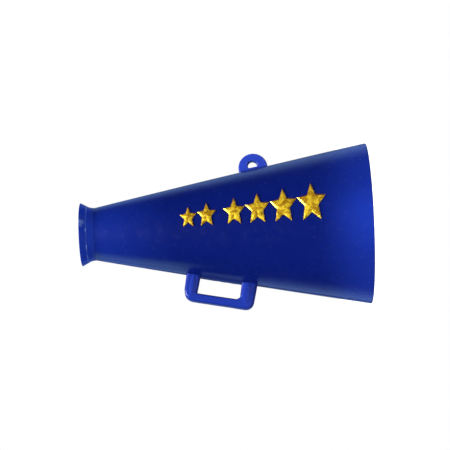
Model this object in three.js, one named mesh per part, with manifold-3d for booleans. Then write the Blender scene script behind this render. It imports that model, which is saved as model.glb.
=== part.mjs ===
// A miniature cheer megaphone in blue plastic: a thin tapered horn with a flared mouthpiece, a handle on one
// side, a hanging eye on the opposite side, and a row of raised stars with gold foil between the two.
//
// Millimetres, +Z up. The megaphone stands on the rim of its bell, and the origin is the centre of that rim.
// +Z runs along the horn to the mouthpiece, +X points to the hanging eye, -X to the handle, and the stars
// face -Y.
import * as THREE from "three";
import { mergeVertices } from "three/addons/utils/BufferGeometryUtils.js";
import Module from "manifold-3d";

const wasm = await Module();
wasm.setup();

// ---- driving dimensions ----
const LENGTH = 63.5; // bell rim to mouthpiece rim
const BELL_RADIUS = 17.76; // outside, at the wide end
const NECK_RADIUS = 5.83; // outside, at the narrow end of the taper
const NECK_HEIGHT = 60.3; // where the taper ends and the mouthpiece starts
const SIDE_BOW = 0.16; // how far the side bows out of a straight line at its middle
const WALL = 1.2; // across the horn's wall, measured from the axis
const RIM_ROUNDING = 0.2;

const LIP_RADIUS = 6.97; // outside of the mouthpiece's rim
const LIP_BAND = 1.5; // height of the band above the crease that runs round the lip
const LIP_STEP = 0.09; // how far the band stands proud at the crease
const LIP_ROUNDING = 0.18;
const CREASE_RADIUS = 6.2; // just below the crease
const CUP_RADIUS = 6.0; // inside edge of the mouthpiece's rim
const CUP_DEPTH = 2.4;

const HANDLE_HEIGHT = 32.9; // middle of the handle's opening, up the horn
const HANDLE_OPENING = 9.2; // between the posts
const HANDLE_REACH = 5.82; // the bar's outer face, out from the horn's side
const HANDLE_BAR = 1.86;
const HANDLE_WEB = 0.45; // height of the web between the posts' feet, out from the horn's side
const HANDLE_THICKNESS = 2.6;
const HANDLE_EDGE = 0.6; // rounding of its long edges
const POST_UPPER = 3.1; // width of the post nearer the mouthpiece
const POST_LOWER = 3.45; // width of the post nearer the bell
const POST_TAPER = 0.17; // how far each side of a post leans in, from the horn to the bar
const POST_ROOT = 1.5; // how far the posts are drawn into the horn before they are cut to it
const HANDLE_OUTER_CORNERS = [2.2, 1.7]; // nearer the mouthpiece, nearer the bell
const HANDLE_INNER_CORNERS = [0.3, 1.0];

const EYE_HEIGHT = 24.88;
const EYE_RISE = 0.72; // its centre, out from the horn's side
const EYE_RADIUS = 3.25;
const EYE_HOLE_RISE = 1.17; // the middle of the hole's arch, out from the horn's side
const EYE_HOLE_RADIUS = 1.05; // the hole is the upper part of this circle
const EYE_WEB = 0.83; // height of the web under the hole, out from the horn's side
const EYE_THICKNESS = 1.6;
const EYE_EDGE = 0.2;

const STARS_TOP = 41.2; // the row of stars, up the horn
const STARS_BOTTOM = 9.8;
const STAR_GROUPS = [2, 4]; // from the mouthpiece's end
const STAR_GAP = 0.15; // between neighbours in a group
const GROUP_GAP = 1.6;
const STAR_GROWTH = 1.7; // largest star over smallest
const STAR_STRETCH = [1.25, 1.4]; // height over width against a regular star, smallest and largest
const STAR_INNER = 0.47; // inner corners, over the points
const STAR_RELIEF = 0.5;
const STAR_FOOT_ANGLE = THREE.MathUtils.degToRad(-8.7); // from -Y round to the row's feet

const HAIRLINE = 0.05; // gap between neighbouring solids
const TURN_SEGMENTS = 64;
const PROFILE_STEPS = 5; // along each curve of a turned profile
const CORNER_STEPS = 3; // half the steps along a rounded corner
const RING_STEPS = 16; // half the steps round a ring

const EYE_SIDE = Math.PI / 2;
const HANDLE_SIDE = -Math.PI / 2;

// ---- materials ----
const bluePlastic = new THREE.MeshStandardMaterial({
  color: 0x1c2f96,
  roughness: 0.35,
  metalness: 0,
});
const goldFoil = new THREE.MeshStandardMaterial({
  color: 0xb89234,
  roughness: 0.25,
  metalness: 1,
});

// ---- the horn's side ----
const SLOPE = Math.atan((BELL_RADIUS - NECK_RADIUS) / NECK_HEIGHT);

// Outside radius of the horn at a height.
function sideRadius(height) {
  const t = height / NECK_HEIGHT;
  return THREE.MathUtils.lerp(BELL_RADIUS, NECK_RADIUS, t) + 4 * SIDE_BOW * t * (1 - t);
}

// Control point of the curve that draws the bowed side, moved out by an offset.
function bowControl(offset) {
  return [(BELL_RADIUS + NECK_RADIUS) / 2 + 2 * SIDE_BOW + offset, NECK_HEIGHT / 2];
}

// The directions at a point on the side, at an angle from -Y towards +X: across runs round the horn, along
// runs up it to the mouthpiece, and out leaves it.
function sideDirections(angle) {
  const radial = new THREE.Vector3(Math.sin(angle), -Math.cos(angle), 0);
  const up = new THREE.Vector3(0, 0, 1);
  const across = new THREE.Vector3().crossVectors(up, radial);
  const along = up.clone().multiplyScalar(Math.cos(SLOPE)).addScaledVector(radial, -Math.sin(SLOPE));
  const out = new THREE.Vector3().crossVectors(across, along);
  return { radial, across, along, out };
}

// Placement of a plate that stands on the side: drawing x runs along the horn, drawing y out of it.
function standing(angle, height, rise) {
  const { radial, across, along, out } = sideDirections(angle);
  const place = radial.multiplyScalar(sideRadius(height) + rise).setZ(height);
  return new THREE.Matrix4().makeBasis(along, out, across).setPosition(place);
}

// Placement of a figure that lies on the side: drawing x runs down the horn, drawing y round it.
function lying(angle, height) {
  const { radial, across, along, out } = sideDirections(angle);
  const place = radial.multiplyScalar(sideRadius(height)).setZ(height);
  return new THREE.Matrix4().makeBasis(along.negate(), across, out).setPosition(place);
}

// ---- solids ----
function solidOf(geometry) {
  const bare = geometry.clone();
  bare.deleteAttribute("normal");
  bare.deleteAttribute("uv");
  const merged = mergeVertices(bare, 1e-4);
  return new wasm.Manifold(
    new wasm.Mesh({
      numProp: 3,
      vertProperties: new Float32Array(merged.attributes.position.array),
      triVerts: new Uint32Array(merged.index.array),
    }),
  );
}

function geometryOf(solid) {
  const mesh = solid.getMesh();
  const geometry = new THREE.BufferGeometry();
  geometry.setAttribute("position", new THREE.BufferAttribute(mesh.vertProperties, 3));
  geometry.setIndex(new THREE.BufferAttribute(mesh.triVerts, 1));
  geometry.computeVertexNormals();
  return geometry;
}

// Turns a closed path of (radius, height) about Z. The path goes up the outside and down the inside.
function turned(path) {
  path.closePath();
  return new THREE.LatheGeometry(path.getPoints(PROFILE_STEPS), TURN_SEGMENTS).rotateX(Math.PI / 2);
}

// An extrusion centred on its drawing plane, with rounded edges that keep the drawn outline.
function plate(shape, thickness, edge, curveSegments) {
  const depth = thickness - 2 * edge;
  const geometry = new THREE.ExtrudeGeometry(shape, {
    depth,
    curveSegments,
    bevelSize: edge,
    bevelOffset: -edge,
    bevelThickness: edge,
    bevelSegments: 3,
  });
  return geometry.translate(0, 0, -depth / 2);
}

// The horn's outside shape with no hollow, moved out by an offset.
function filledHorn(offset) {
  const path = new THREE.Path();
  path.moveTo(0, 0);
  path.lineTo(BELL_RADIUS + offset, 0);
  path.quadraticCurveTo(...bowControl(offset), NECK_RADIUS + offset, NECK_HEIGHT);
  path.lineTo(0, NECK_HEIGHT);
  return solidOf(new THREE.LatheGeometry(path.getPoints(PROFILE_STEPS), TURN_SEGMENTS).rotateX(Math.PI / 2));
}

function named(name, geometry, material) {
  const mesh = new THREE.Mesh(geometry, material);
  mesh.name = name;
  return mesh;
}

// ---- horn ----
function horn() {
  const inner = BELL_RADIUS - WALL;
  const path = new THREE.Path();
  path.moveTo(inner + RIM_ROUNDING, 0);
  path.lineTo(BELL_RADIUS - RIM_ROUNDING, 0);
  path.quadraticCurveTo(BELL_RADIUS, 0, sideRadius(RIM_ROUNDING), RIM_ROUNDING);
  path.quadraticCurveTo(...bowControl(0), NECK_RADIUS, NECK_HEIGHT);
  path.lineTo(NECK_RADIUS - WALL, NECK_HEIGHT);
  path.quadraticCurveTo(...bowControl(-WALL), sideRadius(RIM_ROUNDING) - WALL, RIM_ROUNDING);
  path.quadraticCurveTo(inner, 0, inner + RIM_ROUNDING, 0);
  return turned(path);
}

// ---- mouthpiece ----
function mouthpiece() {
  const base = NECK_HEIGHT + HAIRLINE;
  const crease = LENGTH - LIP_BAND;
  const throat = NECK_RADIUS - WALL;
  const path = new THREE.Path();
  path.moveTo(throat, base);
  path.lineTo(NECK_RADIUS, base);
  path.quadraticCurveTo(NECK_RADIUS, base + LIP_BAND / 2, CREASE_RADIUS, crease);
  path.lineTo(CREASE_RADIUS + LIP_STEP, crease + LIP_STEP);
  path.lineTo(LIP_RADIUS, LENGTH - LIP_ROUNDING);
  path.quadraticCurveTo(LIP_RADIUS, LENGTH, LIP_RADIUS - LIP_ROUNDING, LENGTH);
  path.lineTo(CUP_RADIUS, LENGTH);
  path.quadraticCurveTo(throat, LENGTH - CUP_DEPTH / 3, throat, LENGTH - CUP_DEPTH);
  return turned(path);
}

// ---- handle ----
function handleOutline() {
  const inside = HANDLE_OPENING / 2;
  const upper = inside + POST_UPPER;
  const lower = -inside - POST_LOWER;
  const barInside = HANDLE_REACH - HANDLE_BAR;
  const [outerUpper, outerLower] = HANDLE_OUTER_CORNERS;
  const [innerUpper, innerLower] = HANDLE_INNER_CORNERS;
  const quarter = Math.PI / 2;
  const leaned = (edge, side) => edge + side * POST_TAPER;
  const shape = new THREE.Shape();
  shape.moveTo(upper, -POST_ROOT);
  shape.lineTo(upper, 0);
  shape.absarc(leaned(upper, -1) - outerUpper, HANDLE_REACH - outerUpper, outerUpper, 0, quarter);
  shape.absarc(leaned(lower, 1) + outerLower, HANDLE_REACH - outerLower, outerLower, quarter, 2 * quarter);
  shape.lineTo(lower, 0);
  shape.lineTo(lower, -POST_ROOT);
  shape.closePath();
  const opening = new THREE.Path();
  const cornerLower = leaned(-inside, -1) + innerLower;
  const cornerUpper = leaned(inside, 1) - innerUpper;
  opening.moveTo(inside, HANDLE_WEB);
  opening.lineTo(-inside, HANDLE_WEB);
  opening.absarc(cornerLower, barInside - innerLower, innerLower, 2 * quarter, quarter, true);
  opening.absarc(cornerUpper, barInside - innerUpper, innerUpper, quarter, 0, true);
  opening.closePath();
  shape.holes.push(opening);
  return shape;
}

function handle() {
  const geometry = plate(handleOutline(), HANDLE_THICKNESS, HANDLE_EDGE, CORNER_STEPS);
  geometry.applyMatrix4(standing(HANDLE_SIDE, HANDLE_HEIGHT, 0));
  return geometryOf(solidOf(geometry).subtract(filledHorn(HAIRLINE)));
}

// ---- hanging eye ----
function hangingEye() {
  const ring = new THREE.Shape();
  ring.absarc(0, 0, EYE_RADIUS, 0, 2 * Math.PI);
  // The web closes the circle below the angle where its top edge meets it.
  const webAngle = Math.asin((EYE_WEB - EYE_HOLE_RISE) / EYE_HOLE_RADIUS);
  const hole = new THREE.Path();
  hole.absarc(0, EYE_HOLE_RISE - EYE_RISE, EYE_HOLE_RADIUS, Math.PI - webAngle, webAngle, true);
  hole.closePath();
  ring.holes.push(hole);
  const geometry = plate(ring, EYE_THICKNESS, EYE_EDGE, RING_STEPS);
  geometry.applyMatrix4(standing(EYE_SIDE, EYE_HEIGHT, EYE_RISE));
  return geometryOf(solidOf(geometry).subtract(filledHorn(HAIRLINE)));
}

// ---- stars ----
// A star's width over the distance from its centre to a point, and its foot below its centre over the same.
const STAR_SPREAD = 2 * Math.sin((2 * Math.PI) / 5);
const STAR_FOOT = Math.cos(Math.PI / 5);

// Width, stretch and height up the horn of each star, from the smallest at the mouthpiece's end.
function starRow() {
  const count = STAR_GROUPS.reduce((sum, group) => sum + group);
  const gaps = (STAR_GROUPS.length - 1) * GROUP_GAP + (count - STAR_GROUPS.length) * STAR_GAP;
  const room = (STARS_TOP - STARS_BOTTOM) / Math.cos(SLOPE) - gaps;
  const smallest = (2 * room) / (count * (1 + STAR_GROWTH));
  const row = [];
  let travelled = 0;
  for (const group of STAR_GROUPS) {
    for (let i = 0; i < group; i++) {
      const share = row.length / (count - 1);
      const width = smallest * THREE.MathUtils.lerp(1, STAR_GROWTH, share);
      const stretch = THREE.MathUtils.lerp(...STAR_STRETCH, share);
      row.push({ width, stretch, height: STARS_TOP - (travelled + width / 2) * Math.cos(SLOPE) });
      travelled += width + (i < group - 1 ? STAR_GAP : GROUP_GAP);
    }
  }
  return row;
}

function starOutline(width, stretch) {
  const reach = width / STAR_SPREAD;
  const corners = [];
  for (let i = 0; i < 10; i++) {
    const radius = i % 2 ? reach * STAR_INNER : reach;
    const angle = ((i + 2.5) * Math.PI) / 5;
    corners.push(new THREE.Vector2(radius * Math.cos(angle), radius * Math.sin(angle) * stretch));
  }
  return new THREE.Shape(corners);
}

function star({ width, stretch, height }, foilLayer) {
  const foot = (width / STAR_SPREAD) * STAR_FOOT * stretch;
  const angle = STAR_FOOT_ANGLE + foot / sideRadius(height);
  const depth = 2 * (WALL + STAR_RELIEF);
  const geometry = new THREE.ExtrudeGeometry(starOutline(width, stretch), { depth, bevelEnabled: false });
  geometry.translate(0, 0, -depth / 2);
  geometry.applyMatrix4(lying(angle, height));
  return geometryOf(solidOf(geometry).intersect(foilLayer));
}

// ---- the megaphone ----
const megaphone = new THREE.Group();
megaphone.add(named("horn", horn(), bluePlastic));
megaphone.add(named("mouthpiece", mouthpiece(), bluePlastic));
megaphone.add(named("handle", handle(), bluePlastic));
megaphone.add(named("hanging_eye", hangingEye(), bluePlastic));

const foilLayer = filledHorn(HAIRLINE + STAR_RELIEF).subtract(filledHorn(HAIRLINE));
starRow().forEach((place, i) => {
  megaphone.add(named(`foil_star_${i + 1}`, star(place, foilLayer), goldFoil));
});

export default megaphone;
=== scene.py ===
"""The looks of a miniature cheer megaphone in blue plastic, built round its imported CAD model.

Metres, in the CAD's frame: the megaphone stands on its bell, +Z runs up the horn to the mouthpiece, +X points
to the hanging eye, -X to the handle, and the gold stars face -Y.
"""

import math

import bmesh
import bpy
from mathutils import Matrix, Vector, noise

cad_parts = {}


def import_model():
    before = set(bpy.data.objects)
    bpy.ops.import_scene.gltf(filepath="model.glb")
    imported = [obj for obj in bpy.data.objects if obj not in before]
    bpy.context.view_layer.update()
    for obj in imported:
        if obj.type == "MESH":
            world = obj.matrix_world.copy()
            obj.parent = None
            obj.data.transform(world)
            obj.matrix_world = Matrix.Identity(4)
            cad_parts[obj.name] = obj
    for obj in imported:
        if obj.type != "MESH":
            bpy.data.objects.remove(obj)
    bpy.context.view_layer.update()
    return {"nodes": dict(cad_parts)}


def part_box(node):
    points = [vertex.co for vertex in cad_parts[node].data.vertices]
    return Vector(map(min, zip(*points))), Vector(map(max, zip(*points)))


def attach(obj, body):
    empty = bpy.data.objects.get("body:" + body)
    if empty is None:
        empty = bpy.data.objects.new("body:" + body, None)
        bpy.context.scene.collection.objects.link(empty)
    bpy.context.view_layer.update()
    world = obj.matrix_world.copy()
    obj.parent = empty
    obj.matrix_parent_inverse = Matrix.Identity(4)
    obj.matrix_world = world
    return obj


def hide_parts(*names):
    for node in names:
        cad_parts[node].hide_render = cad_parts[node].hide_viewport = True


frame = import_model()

MM = 0.001
TURN = 2 * math.pi


# ---- sizes that the frame gives ----
def ring_radii(node, height):
    """Smallest and largest radius of a turned CAD node's corners at a height."""
    corners = frame["nodes"][node].data.vertices
    radii = [math.hypot(c.co.x, c.co.y) for c in corners if abs(c.co.z - height) < 0.01 * MM]
    return min(radii), max(radii)


NECK_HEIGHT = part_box("horn")[1].z
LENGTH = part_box("mouthpiece")[1].z
BELL_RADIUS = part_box("horn")[1].x
LIP_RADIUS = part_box("mouthpiece")[1].x
THROAT_RADIUS, NECK_RADIUS = ring_radii("horn", NECK_HEIGHT)
CUP_RADIUS = ring_radii("mouthpiece", LENGTH)[0]
WALL = NECK_RADIUS - THROAT_RADIUS
SLOPE = math.atan((BELL_RADIUS - NECK_RADIUS) / NECK_HEIGHT)
HANDLE_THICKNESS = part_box("handle")[1].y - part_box("handle")[0].y
EYE_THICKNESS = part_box("hanging_eye")[1].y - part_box("hanging_eye")[0].y

# ---- sizes that a box can't give, the same as the CAD's ----
SIDE_BOW = 0.16 * MM
RIM_ROUNDING = 0.2 * MM
LIP_BAND = 1.5 * MM
LIP_STEP = 0.09 * MM
LIP_ROUNDING = 0.18 * MM
CREASE_RADIUS = 6.2 * MM
CUP_DEPTH = 2.4 * MM

HANDLE_HEIGHT = 32.9 * MM
HANDLE_OPENING = 9.2 * MM
HANDLE_REACH = 5.82 * MM
HANDLE_BAR = 1.86 * MM
HANDLE_WEB = 0.45 * MM
HANDLE_EDGE = 0.6 * MM
POST_UPPER = 3.1 * MM
POST_LOWER = 3.45 * MM
POST_TAPER = 0.17 * MM
UPPER_CORNERS = (0.3 * MM, 2.2 * MM)  # inside and outside, nearer the mouthpiece
LOWER_CORNERS = (1.0 * MM, 1.7 * MM)  # inside and outside, nearer the bell

EYE_HEIGHT = 24.88 * MM
EYE_RISE = 0.72 * MM
EYE_RADIUS = 3.25 * MM
EYE_HOLE_RISE = 1.17 * MM
EYE_HOLE_RADIUS = 1.05 * MM
EYE_WEB = 0.83 * MM

STAR_RELIEF = 0.5 * MM
STAR_STRETCH = (1.25, 1.4)  # height over width against a regular star, smallest and largest
STAR_INNER = 0.47
STAR_COUNT = 6

# ---- fine detail that only the visible meshes have ----
HAIRLINE = 0.05 * MM  # the CAD's gap between neighbours, closed here
BURIED = 0.45 * MM  # how far the handle, eye and stars run into the horn's wall
SEAM_HEIGHT = 0.1 * MM  # the mould's parting line, up both sides of the horn
SEAM_WIDTH = 0.09 * MM
RIPPLE = 0.022 * MM  # slow unevenness of the moulded surface
BEAD_HEIGHT = 0.12 * MM  # ragged ridge round the lip's crease
BEAD_WIDTH = 0.12 * MM
EYE_EDGE = 0.28 * MM  # rounding of the eye's edges, a little more than the CAD's
FILLET = 0.18 * MM  # where the handle and the eye run into the horn
PAD_HEIGHT = 0.16 * MM  # raised ovals on the handle's posts
PAD_EDGE = 0.2 * MM  # how far down the posts' rounded edges the ovals fade out
WEB_WIDTH = 1.5 * MM  # the handle's web spreads this far each way, as a low swelling of the horn's side
WEB_FADE = 0.8 * MM  # and this far up and down past the handle's opening
STAR_FOOT_LIFT = 0.16 * MM  # height of a star's steep edge
STAR_SHOULDER_LIFT = 0.34 * MM  # height at the inner end of the bevel above it
STAR_BEVEL = 0.24  # the bevel's share of the way in
STAR_RAGGED = 0.07 * MM  # how far a star's edge wanders

# ---- how finely the meshes are divided ----
SIDE_ROWS = 130
FLARE_ROWS = 14
EDGE_ROWS = 6
HALF_TURN_COLUMNS = 116
SEAM_COLUMNS = 6  # each way from a parting line
POST_ROWS = 44
CORNER_ROWS = 12
BAR_ROWS = 30
FLAT_COLUMNS = 12
ROUNDED_COLUMNS = 5
EYE_ROWS = 168
STAR_COLUMNS = 200
STAR_BEVEL_ROWS = 3
STAR_TOP_ROWS = 14

EYE_SIDE = math.pi / 2
HANDLE_SIDE = -math.pi / 2

# The camera and the lights are placed as the camera sees the megaphone, turned about its axis so that
# its handle comes forward.
VIEW_TURN = math.radians(14)
FROM_VIEW = Matrix.Rotation(-VIEW_TURN, 4, "Z")


# ---- small helpers ----
def lerp(a, b, t):
    return a + (b - a) * t


def steps(a, b, count):
    return [lerp(a, b, i / count) for i in range(count + 1)]


def quadratic(start, control, end, count):
    """Points of a quadratic curve in two dimensions."""
    points = []
    for t in steps(0, 1, count):
        first = [lerp(a, b, t) for a, b in zip(start, control)]
        second = [lerp(a, b, t) for a, b in zip(control, end)]
        points.append(tuple(lerp(a, b, t) for a, b in zip(first, second)))
    return points


def uneven(point, size, seed=0.0):
    """Smooth noise from -1 to 1, with lumps of about a size."""
    return noise.noise(Vector(point) / size + Vector((seed, 2 * seed, 3 * seed)))


def wobble(point, size):
    """Smooth noise from -1 to 1 in each direction, with lumps of about a size."""
    return Vector([uneven(point, size, seed) for seed in (1, 2, 3)])


def side_radius(height):
    """Outside radius of the horn at a height."""
    t = height / NECK_HEIGHT
    return lerp(BELL_RADIUS, NECK_RADIUS, t) + 4 * SIDE_BOW * t * (1 - t)


def on_side(angle, height, rise=0.0):
    """Placement on the horn's side: X runs up the horn, Y leaves it and Z runs round it."""
    radial = Vector((math.sin(angle), -math.cos(angle), 0))
    across = Vector((0, 0, 1)).cross(radial)
    along = Vector((0, 0, 1)) * math.cos(SLOPE) - radial * math.sin(SLOPE)
    place = Matrix((along, across.cross(along), across)).transposed().to_4x4()
    place.translation = radial * (side_radius(height) + rise) + Vector((0, 0, height))
    return place


# ---- meshes ----
def skin(rows, wrap_rows):
    """A closed skin over rows of points, each row a ring. Open ends are closed with a fan."""
    mesh = bmesh.new()
    grid = [[mesh.verts.new(point) for point in row] for row in rows]
    count = len(grid[0])
    pairs = list(zip(grid, grid[1:]))
    if wrap_rows:
        pairs.append((grid[-1], grid[0]))
    for lower, upper in pairs:
        for i in range(count):
            j = (i + 1) % count
            mesh.faces.new((lower[i], lower[j], upper[j], upper[i]))
    if not wrap_rows:
        for ring in (grid[0], grid[-1]):
            middle = mesh.verts.new(sum((v.co for v in ring), Vector()) / count)
            for i in range(count):
                mesh.faces.new((ring[i], ring[(i + 1) % count], middle))
    bmesh.ops.recalc_face_normals(mesh, faces=mesh.faces)
    return mesh


def piece(name, mesh, node, material, crease_angle=35):
    """A visible piece that stands for a CAD node."""
    data = bpy.data.meshes.new(name)
    mesh.to_mesh(data)
    mesh.free()
    data.shade_smooth()
    data.set_sharp_from_angle(angle=math.radians(crease_angle))
    data.materials.append(material)
    made = bpy.data.objects.new(name, data)
    bpy.context.scene.collection.objects.link(made)
    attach(made, "root")
    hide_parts(node)
    return made


# ---- turned pieces ----
def turn_columns():
    """(angle, distance from the parting line where it is close) of each column of a turned piece."""
    columns = []
    close = [i * SEAM_WIDTH / 2 for i in range(-SEAM_COLUMNS, SEAM_COLUMNS + 1)]
    for side in (HANDLE_SIDE, EYE_SIDE):
        columns += [(side, offset) for offset in close]
        for i in range(2, HALF_TURN_COLUMNS - 1):
            columns.append((side + math.pi * i / HALF_TURN_COLUMNS, None))
    return columns


def turned(outline, extra):
    """Turns a closed outline of (radius, height) about Z. extra gives how far each point moves outwards."""
    rows = []
    columns = turn_columns()
    for radius, height in outline:
        row = []
        for angle, offset in columns:
            if offset is not None:
                angle += offset / max(radius, NECK_RADIUS)
            grown = radius + extra(radius, height, angle, offset)
            row.append(Vector((math.sin(angle) * grown, -math.cos(angle) * grown, height)))
        rows.append(row)
    return skin(rows, wrap_rows=True)


def seam(offset, height):
    """Height of the parting line, ragged along the horn."""
    if offset is None:
        return 0.0
    ragged = 0.75 + 0.5 * uneven((0, offset * 2, height), 1.1 * MM, 4)
    return SEAM_HEIGHT * ragged * math.exp(-((offset / SEAM_WIDTH) ** 2))


def moulded(radius, height, angle):
    """The slow unevenness that the horn and the mouthpiece share."""
    point = (math.sin(angle) * radius, -math.cos(angle) * radius, height / 2)
    return RIPPLE * (uneven(point, 7 * MM) + 0.35 * uneven(point, 2.4 * MM, 9))


def web_swelling(radius, height, angle):
    """Height of the web between the handle's posts, as it runs out into the horn's side."""
    off = abs((angle - HANDLE_SIDE + math.pi) % TURN - math.pi) * radius / WEB_WIDTH
    past = max(0, abs(height - HANDLE_HEIGHT) - HANDLE_OPENING / 2) / WEB_FADE
    return HANDLE_WEB * math.exp(-(off**2) - past**2)


def horn(material):
    top = NECK_HEIGHT + HAIRLINE
    rim = RIM_ROUNDING
    outer = [(side_radius(z), z) for z in steps(rim, NECK_HEIGHT, SIDE_ROWS)] + [(NECK_RADIUS, top)]
    inner = [(r - WALL, z) for r, z in reversed(outer)][::2]
    corner_out = quadratic((BELL_RADIUS - rim, 0), (BELL_RADIUS, 0), (side_radius(rim), rim), EDGE_ROWS)
    corner_in = [(2 * BELL_RADIUS - WALL - r, z) for r, z in reversed(corner_out)]
    outline = corner_out[:-1] + outer + inner[:-1] + corner_in

    def extra(radius, height, angle, offset):
        outside = radius > side_radius(height) - WALL / 2
        grown = moulded(radius, height, angle) * min(1, height / MM)
        if outside:
            grown += seam(offset, height) + web_swelling(radius, height, angle)
        return grown

    return piece("horn_shell", turned(outline, extra), "horn", material)


def mouthpiece(material):
    base = NECK_HEIGHT + HAIRLINE
    crease = LENGTH - LIP_BAND
    edge = LIP_ROUNDING
    neck_control = (NECK_RADIUS, base + LIP_BAND / 2)
    neck = quadratic((NECK_RADIUS, base), neck_control, (CREASE_RADIUS, crease), FLARE_ROWS)
    band_foot = (CREASE_RADIUS + LIP_STEP, crease + LIP_STEP)
    band_top = (LIP_RADIUS, LENGTH - edge)
    band = [tuple(lerp(a, b, t) for a, b in zip(band_foot, band_top)) for t in steps(0, 1, FLARE_ROWS)]
    corner = quadratic(band_top, (LIP_RADIUS, LENGTH), (LIP_RADIUS - edge, LENGTH), EDGE_ROWS)
    cup_top = (CUP_RADIUS + edge / 2, LENGTH)
    cup_edge = (CUP_RADIUS - edge / 2, LENGTH - edge / 2)
    cup = quadratic(cup_top, (CUP_RADIUS, LENGTH), cup_edge, 4)
    cup_control = (THROAT_RADIUS, LENGTH - CUP_DEPTH / 3)
    throat_top = (THROAT_RADIUS, LENGTH - CUP_DEPTH)
    cup += quadratic(cup_edge, cup_control, throat_top, FLARE_ROWS)[1:]
    throat = [(THROAT_RADIUS, z) for z in steps(LENGTH - CUP_DEPTH, base, EDGE_ROWS)][1:]
    outline = neck + band + corner[1:] + cup + throat

    def extra(radius, height, angle, offset):
        outside = radius > NECK_RADIUS - WALL / 2 and height < LENGTH - edge
        around = Vector((math.sin(angle), math.cos(angle), 0)) * CREASE_RADIUS
        ragged = 0.6 + 0.6 * uneven(around, 0.9 * MM, 2) + 0.4 * uneven(around, 0.35 * MM, 5)
        bead = BEAD_HEIGHT * max(0, ragged) * math.exp(-(((height - crease) / BEAD_WIDTH) ** 2))
        grown = moulded(radius, height, angle)
        return grown + (bead + 0.6 * seam(offset, height) if outside else 0)

    return piece("mouthpiece_lip", turned(outline, extra), "mouthpiece", material)


# ---- handle ----
def foot_flare(out):
    """How far a piece's faces spread where it runs into the horn, at a distance out from the side."""
    share = max(0, 1 - max(out, 0) / FILLET)
    return FILLET * (1 - math.sqrt(1 - share**2))


def handle_stations():
    """(inside point, outside point) pairs along the handle, in (up the horn, out of it)."""
    bar_inside = HANDLE_REACH - HANDLE_BAR
    inside = HANDLE_OPENING / 2
    sides = []
    for way, width, (inner, outer) in ((1, POST_UPPER, UPPER_CORNERS), (-1, POST_LOWER, LOWER_CORNERS)):
        post = []
        for t in steps(0, 1, POST_ROWS):
            low = lerp(-BURIED, bar_inside - inner, t)
            high = lerp(-BURIED, HANDLE_REACH - outer, t)
            near = inside + POST_TAPER * low / HANDLE_REACH - foot_flare(low)
            far = inside + width - POST_TAPER * high / HANDLE_REACH + foot_flare(high)
            post.append(((way * near, low), (way * far, high)))
        corner = []
        for turn in steps(0, math.pi / 2, CORNER_ROWS)[1:]:
            near = inside + POST_TAPER - inner + inner * math.cos(turn)
            far = inside + width - POST_TAPER - outer + outer * math.cos(turn)
            low = bar_inside - inner + inner * math.sin(turn)
            high = HANDLE_REACH - outer + outer * math.sin(turn)
            corner.append(((way * near, low), (way * far, high)))
        sides.append(post + corner)
    first, last = sides[0][-1], sides[1][-1]
    bar = []
    for t in steps(0, 1, BAR_ROWS)[1:-1]:
        bar.append(tuple(tuple(lerp(a, b, t) for a, b in zip(p, q)) for p, q in zip(first, last)))
    return sides[0] + bar + sides[1][::-1]


def rounded_section(width, thickness, radius):
    """A rounded rectangle as (along its width from 0, across its thickness), with points along its flats."""
    half = thickness / 2 - radius
    corners = [(width - radius, half, 0), (radius, half, 1), (radius, -half, 2), (width - radius, -half, 3)]
    points = []
    for i, (x, y, quarter) in enumerate(corners):
        for turn in steps(0, math.pi / 2, ROUNDED_COLUMNS):
            angle = turn + quarter * math.pi / 2
            points.append((x + radius * math.cos(angle), y + radius * math.sin(angle)))
        after = corners[(i + 1) % 4]
        angle = (quarter + 1) * math.pi / 2
        here = (x + radius * math.cos(angle), y + radius * math.sin(angle))
        there = (after[0] + radius * math.cos(angle), after[1] + radius * math.sin(angle))
        for t in steps(0, 1, FLAT_COLUMNS)[1:-1]:
            points.append((lerp(here[0], there[0], t), lerp(here[1], there[1], t)))
    return points


# The raised ovals' middles, as (up the horn from the handle's middle, out of it), and their half sizes.
PADS = (
    ((6.0 * MM, 2.4 * MM), (0.42 * MM, 2.2 * MM)),
    ((-6.05 * MM, 2.3 * MM), (0.68 * MM, 2.15 * MM)),
)


def raised(along, out):
    """How far a post's flat is raised at a point."""
    height = 0.0
    for (x, y), (half_width, half_height) in PADS:
        reach = ((along - x) / half_width) ** 2 + ((out - y) / half_height) ** 2
        height += PAD_HEIGHT / (1 + reach ** 4)
    return height


def handle(material):
    place = on_side(HANDLE_SIDE, HANDLE_HEIGHT)
    rows = []
    for near, far in handle_stations():
        direction = Vector(far) - Vector(near)
        width = direction.length
        direction.normalize()
        row = []
        for x, y in rounded_section(width, HANDLE_THICKNESS, HANDLE_EDGE):
            along = near[0] + direction.x * x
            out = near[1] + direction.y * x
            flat = max(0, 1 - abs(abs(y) - HANDLE_THICKNESS / 2) / PAD_EDGE)
            y += math.copysign(raised(along, out) * flat + 0.6 * foot_flare(out), y)
            point = Vector((along, out, y))
            point += 1.2 * RIPPLE * wobble(point, 2.2 * MM)
            row.append(place @ point)
        rows.append(row)
    return piece("handle_grip", skin(rows, wrap_rows=False), "handle", material)


# ---- hanging eye ----
def ray_reach(origin_y, radius, angle, floor_y):
    """How far a ray goes from (0, origin_y) before it meets a circle about 0 or a straight floor under it."""
    dx, dy = math.cos(angle), math.sin(angle)
    reach = -origin_y * dy + math.sqrt(radius**2 - (origin_y * dx) ** 2)
    if dy < 0 and origin_y + reach * dy < floor_y:
        reach = (floor_y - origin_y) / dy
    return reach


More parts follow.
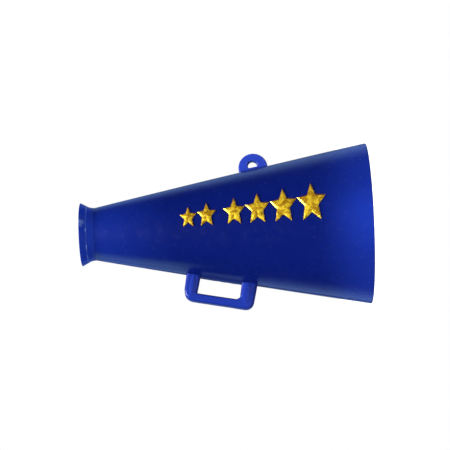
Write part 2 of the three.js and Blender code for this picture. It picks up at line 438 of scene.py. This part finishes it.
def hanging_eye(material):
    place = on_side(EYE_SIDE, EYE_HEIGHT, EYE_RISE)
    web = EYE_WEB - EYE_RISE
    hole = EYE_HOLE_RISE - EYE_RISE
    middle = (web + hole + EYE_HOLE_RADIUS) / 2
    rows = []
    for i in range(EYE_ROWS):
        angle = TURN * i / EYE_ROWS
        near = ray_reach(middle - hole, EYE_HOLE_RADIUS, angle, web - hole)
        far = ray_reach(middle, EYE_RADIUS, angle, -EYE_RISE - BURIED)
        row = []
        for x, y in rounded_section(far - near, EYE_THICKNESS, EYE_EDGE):
            along = (near + x) * math.cos(angle)
            out = middle + (near + x) * math.sin(angle)
            y += math.copysign(0.5 * foot_flare(out + EYE_RISE), y)
            point = Vector((along, out, y))
            point += RIPPLE * wobble(point, 2.2 * MM)
            row.append(place @ point)
        rows.append(row)
    return piece("hanging_eye_ring", skin(rows, wrap_rows=True), "hanging_eye", material)


# ---- stars ----
def star_place(node, stretch):
    """(height, angle, reach of a point) of a star, from its CAD node's box."""
    low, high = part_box(node)
    height = (low.z + high.z) / 2
    width = (high.z - low.z - STAR_RELIEF * math.sin(SLOPE)) / math.cos(SLOPE)
    reach = width / (2 * math.sin(TURN / 5))
    radius = side_radius(height)
    foot_angle = math.asin(low.x / radius)
    return height, foot_angle + reach * math.cos(TURN / 10) * stretch / radius, reach


def star_edge(turn):
    """A five-pointed star's radius over its reach, at an angle from the middle of one of its points."""
    wedge = TURN / 10
    turn = abs((turn + wedge) % (2 * wedge) - wedge)
    inner = STAR_INNER
    return inner * math.sin(wedge) / (inner * math.sin(wedge - turn) + math.sin(turn))


def star_profile():
    """(share of the edge's radius, lift) of the rings of a star, from its buried foot to its peak."""
    rings = [(1.0, -BURIED), (1.0, 0.0), (1.0, STAR_FOOT_LIFT)]
    for t in steps(0, 1, STAR_BEVEL_ROWS)[1:]:
        lift = lerp(STAR_FOOT_LIFT, STAR_SHOULDER_LIFT, math.sin(t * math.pi / 2))
        rings.append((1 - STAR_BEVEL * t, lift))
    for t in steps(0, 1, STAR_TOP_ROWS)[1:-1]:
        rings.append(((1 - STAR_BEVEL) * (1 - t), lerp(STAR_SHOULDER_LIFT, STAR_RELIEF, t)))
    return rings


def star(index, material):
    stretch = lerp(*STAR_STRETCH, (index - 1) / (STAR_COUNT - 1))
    height, angle, reach = star_place(f"foil_star_{index}", stretch)
    rows = []
    for share, lift in star_profile():
        row = []
        for i in range(STAR_COLUMNS):
            turn = TURN * i / STAR_COLUMNS
            radius = reach * star_edge(turn) * share
            down = math.sin(turn) * radius
            sideways = math.cos(turn) * radius * stretch
            ragged = STAR_RAGGED * uneven((down, sideways, index * MM), 0.4 * MM, index) * share**4
            down += ragged * math.sin(turn)
            sideways += ragged * math.cos(turn)
            at = angle + sideways / side_radius(height)
            z = height - down * math.cos(SLOPE)
            out = side_radius(z) + lift
            row.append(Vector((math.sin(at) * out, -math.cos(at) * out, z)))
        rows.append(row)
    made = skin(rows, wrap_rows=False)
    return piece(
        f"foil_star_patch_{index}", made, f"foil_star_{index}", material, crease_angle=13
    )


# ---- materials ----
DEEP_BLUE = (0.0012, 0.0065, 0.105)
PAINTED_END_GLOW_BLUE = (0.006, 0.024, 0.265)  # painted glow near the horn's ends, standing for light through the wall, and a painted highlight in front at the bell
PAINTED_STANDOFF_GLOW_BLUE = (0.0205, 0.05, 0.43)  # painted glow on the handle and the eye, standing for light through them
WORN_BLUE = (0.06, 0.18, 0.5)
# painted light on the flare next to the neck, making up for the horn's sheen there
PAINTED_NECK_LIGHT_BLUE = (0.023, 0.055, 0.42)
# painted light on the flare's outside up at the lip, where it faces away from the light above
PAINTED_LIP_LIGHT_BLUE = (0.004, 0.029, 0.36)
# painted glints along the lip's crease, and the pale of a real scuff
GLINT_AND_SCUFF_BLUE = (0.2, 0.32, 0.62)

DULL_GOLD = (0.42, 0.22, 0.006)
BRIGHT_GOLD = (0.95, 0.66, 0.03)
SPECK_BROWN = (0.42, 0.16, 0.012)
SHADED_BROWN = (0.34, 0.15, 0.008)
EDGE_ORANGE = (0.62, 0.24, 0.03)
# painted shade on the foil's edges that face the eye's side
PAINTED_SHADE_RED = (0.13, 0.012, 0.01)
BARE_BLUE = (0.03, 0.02, 0.2)

BELL_GLOW_PLACE = -2.7 * MM  # where round the bell the painted glow and highlight are strongest, as x
BELL_GLOW_WIDTH = 9 * MM  # each way from there
BELL_GLOW_HEIGHT = 13 * MM  # up from the bell's rim
NECK_GLOW_HEIGHT = 20 * MM  # down from the neck
GLOW_DIM_FADE = 2.5 * MM  # height over which the handle's painted glow grows from dim at its thicker end
SCUFF_PLACE = 1 * MM  # the scuff on the lip's front, as x


class Nodes:
    """Short calls for building the nodes of a material or a world."""

    def __init__(self, tree, coordinate):
        self.tree = tree
        self.coordinates = self.add("ShaderNodeTexCoord").outputs
        self.place = self.coordinates[coordinate]
        self.x, self.y, self.z = self.parts(self.place)

    def add(self, kind, **settings):
        node = self.tree.nodes.new(kind)
        for key, value in settings.items():
            setattr(node, key, value)
        return node

    def link(self, value, socket):
        if isinstance(value, bpy.types.NodeSocket):
            self.tree.links.new(value, socket)
        else:
            socket.default_value = value

    def parts(self, vector):
        node = self.add("ShaderNodeSeparateXYZ")
        self.link(vector, node.inputs[0])
        return node.outputs

    def mapped(self, socket, value):
        node = self.add("ShaderNodeMapping")
        self.link(self.place, node.inputs["Vector"])
        node.inputs[socket].default_value = value
        return node.outputs["Vector"]

    def stretched(self, scale):
        return self.mapped("Scale", scale)

    def noise(self, size, detail=3, rough=0.55, distortion=0.0, vector=None):
        """Noise from 0 to 1, with lumps of about a size in metres."""
        node = self.add("ShaderNodeTexNoise")
        self.link(vector or self.place, node.inputs["Vector"])
        node.inputs["Scale"].default_value = 1 / size
        node.inputs["Detail"].default_value = detail
        node.inputs["Roughness"].default_value = rough
        node.inputs["Distortion"].default_value = distortion
        return node.outputs["Fac"]

    def ramp(self, value, low, high, to_low=0.0, to_high=1.0):
        """Maps a value from low..high to to_low..to_high, smoothly, and holds it outside them."""
        node = self.add("ShaderNodeMapRange", interpolation_type="SMOOTHSTEP")
        self.link(value, node.inputs["Value"])
        for key, number in zip(("From Min", "From Max", "To Min", "To Max"), (low, high, to_low, to_high)):
            self.link(number, node.inputs[key])
        return node.outputs["Result"]

    def math(self, operation, a, b=0.0):
        node = self.add("ShaderNodeMath", operation=operation)
        self.link(a, node.inputs[0])
        self.link(b, node.inputs[1])
        return node.outputs[0]

    def times(self, a, b):
        return self.math("MULTIPLY", a, b)

    def plus(self, a, b):
        return self.math("ADD", a, b)

    def wander(self, value, amount):
        """Brings noise to lie round 0."""
        return self.times(self.math("SUBTRACT", value, 0.5), amount)

    def mix(self, share, a, b):
        """Mixes two colours."""
        node = self.add("ShaderNodeMix", data_type="RGBA")
        self.link(share, node.inputs["Factor"])
        for value, socket in ((a, node.inputs[6]), (b, node.inputs[7])):
            self.link((*value, 1) if isinstance(value, tuple) else value, socket)
        return node.outputs[2]

    def bump(self, height, distance, under=None):
        node = self.add("ShaderNodeBump")
        node.inputs["Distance"].default_value = distance
        self.link(height, node.inputs["Height"])
        if under is not None:
            self.link(under, node.inputs["Normal"])
        return node.outputs["Normal"]


def new_material(name):
    """A material, its nodes and its shader."""
    material = bpy.data.materials.new(name)
    material.use_nodes = True
    n = Nodes(material.node_tree, "Object")
    return material, n, material.node_tree.nodes["Principled BSDF"]


def scratches(n):
    """Sparse short scuffs and scratches, from 0 to 1."""
    long_ones = n.noise(0.5 * MM, 2, 0.5, 0.6, n.stretched((1.0, 1.0, 0.12)))
    short_ones = n.noise(0.35 * MM, 2, 0.5, 0.4, n.stretched((0.2, 0.3, 1.0)))
    where = n.ramp(n.noise(7 * MM, 2), 0.6, 0.76)
    found = n.math("MAXIMUM", n.ramp(long_ones, 0.74, 0.9), n.ramp(short_ones, 0.77, 0.93))
    return n.times(found, where)


def painted_end_glow(n):
    """How much painted glow the wall gets near the horn's two open ends, standing for light through it, with
    a painted highlight in front at the bell.
    """
    # painted highlight: the glow is strongest in front at the bell
    off_front = n.math("ABSOLUTE", n.plus(n.x, -BELL_GLOW_PLACE))
    front = n.ramp(off_front, 0, BELL_GLOW_WIDTH, 1.1, 0.58)
    painted_bell_glow = n.times(n.ramp(n.z, 0, BELL_GLOW_HEIGHT, 1, 0), front)
    # painted glow below the neck
    near_neck = n.ramp(n.z, NECK_HEIGHT - NECK_GLOW_HEIGHT, NECK_HEIGHT, 0, 0.5)
    return n.math("MAXIMUM", painted_bell_glow, near_neck)


def off_side(n):
    """Distance from the horn's side, for the pieces that stand on it."""
    side = n.math("SUBTRACT", BELL_RADIUS, n.times(n.z, math.tan(SLOPE)))
    return n.math("SUBTRACT", n.math("ABSOLUTE", n.x), side)


def foot_of_glow(n):
    """Distance from the horn's side where the painted glow begins: past the web between the handle's posts,
    and part of the way up the eye's web."""
    from_middle = n.math("ABSOLUTE", n.math("SUBTRACT", n.z, HANDLE_HEIGHT))
    half = HANDLE_OPENING / 2
    handle_side = n.ramp(from_middle, half - 0.4 * MM, half + 0.1 * MM, HANDLE_WEB + 0.1 * MM, 0.05 * MM)
    return n.ramp(n.x, -1 * MM, 1 * MM, handle_side, EYE_WEB - 0.5 * MM)


def crease_glints_and_scuff(n):
    """Pale painted glints along the lip's crease, where its ragged flash catches the light, and a scuff on
    its front, from 0 to 1.
    """
    crease = n.plus(n.wander(n.noise(0.7 * MM, 2), 0.25 * MM), LENGTH - LIP_BAND)
    line = n.ramp(n.math("ABSOLUTE", n.math("SUBTRACT", n.z, crease)), 0.04 * MM, 0.16 * MM, 1, 0)
    # painted highlights: pale glints along the crease
    painted_glints = n.times(line, n.ramp(n.noise(1.3 * MM, 3), 0.5, 0.62, 0.15, 0.8))
    off_scuff = n.math("ABSOLUTE", n.math("SUBTRACT", n.x, SCUFF_PLACE))
    where = n.times(n.ramp(off_scuff, 0.4 * MM, 1.1 * MM, 1, 0), n.ramp(n.y, 0, 1 * MM, 1, 0))
    scuff = n.times(where, n.ramp(n.noise(1.2 * MM, 3, 0.6), 0.38, 0.68, 0, 0.55))
    return n.math("MAXIMUM", painted_glints, n.times(scuff, n.ramp(n.z, LENGTH - LIP_BAND, LENGTH - 0.8 * MM)))


def body_blue(n):
    """The blue of the horn's wall, with painted glow near its ends and a painted highlight in front at the
    bell, flow marks up the horn and a fine grain.
    """
    flow = n.noise(4 * MM, 4, 0.6, 0.8, n.stretched((1.0, 1.0, 0.3)))
    # light carries the painted glow near the ends together with random tone, flow marks and grain
    light = n.plus(painted_end_glow(n), n.wander(n.noise(14 * MM, 2), 0.22))
    light = n.plus(light, n.wander(flow, 0.22))
    light = n.plus(light, n.wander(n.noise(0.4 * MM, 3, 0.7), 0.4))
    return n.mix(light, DEEP_BLUE, PAINTED_END_GLOW_BLUE)


def add_painted_standoff_glow(n, blue, painted_glow, glow_dims_below):
    """Adds painted glow to a piece that stands off the horn, standing for light through it, most of it on its
    flats.
    """
    flats = n.ramp(n.math("ABSOLUTE", n.parts(n.coordinates["Normal"])[1]), 0.5, 0.97, 0.42, 1)
    start = foot_of_glow(n)
    # through is the share of painted glow
    through = n.times(n.ramp(off_side(n), start, n.plus(start, 0.4 * MM), 0, painted_glow), flats)
    if glow_dims_below is not None:
        # painted shade: less painted glow towards the handle's bell end
        through = n.times(through, n.ramp(n.z, glow_dims_below, glow_dims_below + GLOW_DIM_FADE, 0.35, 1))
    return n.mix(through, blue, PAINTED_STANDOFF_GLOW_BLUE)


def add_painted_lip_light(n, blue):
    """Adds painted light to the flare's outside, most on faces that look down and sideways and growing up
    towards the lip, and the pale marks on it.
    """
    outside = n.ramp(n.parts(n.coordinates["Normal"])[2], 0.05, 0.35, 1, 0.2)
    up_flare = n.ramp(n.z, NECK_HEIGHT, LENGTH - LIP_BAND)
    flare = n.mix(up_flare, PAINTED_NECK_LIGHT_BLUE, PAINTED_LIP_LIGHT_BLUE)
    blue = n.mix(n.times(outside, n.ramp(up_flare, 0, 1, 0.4, 1)), blue, flare)
    return n.mix(crease_glints_and_scuff(n), blue, GLINT_AND_SCUFF_BLUE)


def blue_plastic(name, painted_glow=0.0, glow_dims_below=None, gloss=0.35, is_lip=False):
    """Moulded blue plastic. painted_glow is how much painted glow a piece that stands off the horn gets on
    its flats, a paler blue standing for light through it. glow_dims_below is a height below which the painted
    glow is weaker."""
    material, n, shader = new_material(name)
    worn = scratches(n)
    blue = body_blue(n)
    if painted_glow:
        blue = add_painted_standoff_glow(n, blue, painted_glow, glow_dims_below)
    blue = n.mix(n.times(worn, 0.04), blue, WORN_BLUE)
    if is_lip:
        blue = add_painted_lip_light(n, blue)
    n.link(blue, shader.inputs["Base Color"])
    rough = n.plus(n.ramp(n.noise(1.6 * MM, 4), 0.3, 0.7, 0.2, 0.28), n.times(worn, 0.08))
    n.link(rough, shader.inputs["Roughness"])
    shader.inputs["IOR"].default_value = 1.49
    shader.inputs["Specular IOR Level"].default_value = gloss
    grain = n.bump(n.noise(0.22 * MM, 3, 0.7), 0.009 * MM)
    ripple = n.bump(n.noise(1.1 * MM, 3, 0.6), 0.02 * MM, grain)
    n.link(n.bump(worn, 0.004 * MM, ripple), shader.inputs["Normal"])
    return material


def gold_foil():
    """Hot-stamped gold foil, with painted shade browning it towards the eye's side, orange where it is drawn
    down the edges of the raised figures, painted shade in dark red on those that face the eye's side, and
    worn through to the plastic at a few places there."""
    material, n, shader = new_material("gold_foil")
    facing_x, facing_y = n.parts(n.coordinates["Normal"])[0:2]
    tone = n.noise(1.3 * MM, 3, 0.5, 1.2)
    fine = n.noise(0.22 * MM, 3, 0.6, 0.5)
    gold = n.mix(n.ramp(tone, 0.38, 0.62), DULL_GOLD, BRIGHT_GOLD)
    gold = n.mix(n.ramp(fine, 0.6, 0.74, 0, 0.5), gold, SPECK_BROWN)
    # painted shade: browner towards the eye's side
    round_horn = n.math("ARCTAN2", n.x, n.times(n.y, -1))
    shaded = n.ramp(round_horn, math.radians(-2), math.radians(24), 0, 0.6)
    gold = n.mix(shaded, gold, SHADED_BROWN)
    steep = n.ramp(facing_y, -0.8, -0.3)
    gold = n.mix(n.times(steep, 0.6), gold, EDGE_ORANGE)
    # painted shade: edges that face the eye's side darkened to red
    upper = n.ramp(facing_x, 0.28, 0.55)
    gold = n.mix(n.times(upper, 0.85), gold, PAINTED_SHADE_RED)
    bare = n.times(n.ramp(n.noise(0.75 * MM, 2), 0.66, 0.7), steep)
    gold = n.mix(bare, gold, BARE_BLUE)
    n.link(gold, shader.inputs["Base Color"])
    n.link(n.ramp(bare, 0, 1, 0.45, 0), shader.inputs["Metallic"])
    n.link(n.ramp(n.noise(0.6 * MM, 3), 0.3, 0.7, 0.2, 0.34), shader.inputs["Roughness"])
    creased = n.bump(tone, 0.11 * MM)
    n.link(n.bump(fine, 0.006 * MM, creased), shader.inputs["Normal"])
    return material


# ---- studio ----
FLOOR_RADIUS = 120 * MM
FLOOR_DROP = 0.02 * MM  # the floor lies this far under the bell's rim
HANDLE_SIDE_LIGHT = 0.06  # how much wider the light from behind is on the handle's side


def floor():
    """Plain pale paper. The plastic doesn't mirror it, so that only the studio's light shows in the gloss."""
    mesh = bmesh.new()
    bmesh.ops.create_circle(mesh, cap_ends=True, segments=128, radius=FLOOR_RADIUS)
    bmesh.ops.translate(mesh, verts=mesh.verts, vec=(0, 0, -FLOOR_DROP))
    data = bpy.data.meshes.new("floor")
    mesh.to_mesh(data)
    mesh.free()
    material, n, shader = new_material("floor_paper")
    n.link(n.mix(n.noise(6 * MM, 3), (0.95, 0.95, 0.95), (0.98, 0.98, 0.98)), shader.inputs["Base Color"])
    shader.inputs["Roughness"].default_value = 0.9
    n.link(n.bump(n.noise(0.4 * MM, 3), 0.01 * MM), shader.inputs["Normal"])
    data.materials.append(material)
    made = bpy.data.objects.new("floor", data)
    made.visible_glossy = False
    bpy.context.scene.collection.objects.link(made)


def world():
    """Bluish light from behind the horn, on the eye's side and the handle's, a little wider on the handle's.
    The camera sees plain white."""
    made = bpy.data.worlds.new("studio")
    made.use_nodes = True
    back = made.node_tree.nodes["Background"]
    n = Nodes(made.node_tree, "Generated")
    x, y, z = n.parts(n.mapped("Rotation", (0, 0, VIEW_TURN)))
    behind = n.plus(y, n.math("MAXIMUM", n.times(x, -HANDLE_SIDE_LIGHT), 0))
    band = n.times(n.ramp(behind, 0.33, 0.74), n.ramp(behind, 0.84, 1.0, 1, 0.3))
    across = n.times(x, x)
    along = n.times(z, z)
    beside = n.math("DIVIDE", across, n.plus(n.plus(across, along), 0.001))
    level = n.times(band, n.ramp(beside, 0.3, 0.8, 0.25, 1))
    light = n.mix(level, (0.03, 0.03, 0.035), (0.29, 0.5, 1.0))
    seen = n.add("ShaderNodeLightPath").outputs["Is Camera Ray"]
    n.link(n.mix(seen, light, (1.0, 1.0, 1.0)), back.inputs["Color"])
    bpy.context.scene.world = made


def softbox(name, place, size, power, colour, towards):
    """A square area light that faces the megaphone's axis at a height."""
    light = bpy.data.lights.new(name, "AREA")
    light.size = size
    light.energy = power
    light.color = colour
    made = bpy.data.objects.new(name, light)
    bpy.context.scene.collection.objects.link(made)
    made.location = FROM_VIEW @ Vector(place)
    made.visible_camera = False
    facing = Vector((0, 0, towards)) - made.location
    made.rotation_euler = facing.to_track_quat("-Z", "Y").to_euler()


def camera():
    """Looks at the megaphone's front, with the horn across the picture and its mouthpiece to the left."""
    distance = 377.7 * MM
    side = 0.9 * MM
    height = 28.66 * MM
    yaw = math.radians(0.449)
    roll = math.radians(-2.311)
    right, up, back = Vector((0, 0, -1)), Vector((1, 0, 0)), Vector((0, -1, 0))
    yawed = Matrix.Rotation(yaw, 3, up)
    right, back = yawed @ right, yawed @ back
    rolled = Matrix.Rotation(roll, 3, back)
    right, up = rolled @ right, rolled @ up
    data = bpy.data.cameras.new("camera")
    data.sensor_width = 36
    data.lens = 136.5
    data.clip_start = 10 * MM
    data.clip_end = 5
    made = bpy.data.objects.new("camera", data)
    bpy.context.scene.collection.objects.link(made)
    facing = Matrix((right, up, back)).transposed().to_4x4()
    made.matrix_world = FROM_VIEW @ Matrix.Translation((side, -distance, height)) @ facing
    bpy.context.scene.camera = made


# ---- the scene ----
camera()
world()
floor()
softbox("softbox_over", (0, -0.17, 0.44), size=0.2, power=4.5, colour=(1, 1, 1), towards=LENGTH / 2)
near_neck = (-0.055, 0.013, 0.068)
softbox("softbox_near_neck", near_neck, size=0.03, power=0.0025, colour=(0.45, 0.85, 1), towards=50 * MM)
bpy.context.scene.view_settings.view_transform = "Standard"

plastic = blue_plastic("blue_plastic")
bell_end_of_handle = HANDLE_HEIGHT - HANDLE_OPENING / 2 - POST_LOWER
handle_plastic = blue_plastic("blue_plastic_handle", painted_glow=0.6, glow_dims_below=bell_end_of_handle, gloss=0.22)
eye_plastic = blue_plastic("blue_plastic_eye", painted_glow=1.0)
lip_plastic = blue_plastic("blue_plastic_lip", gloss=0.1, is_lip=True)
foil = gold_foil()
horn(plastic)
mouthpiece(lip_plastic)
handle(handle_plastic)
hanging_eye(eye_plastic)
for index in range(1, STAR_COUNT + 1):
    star(index, foil)
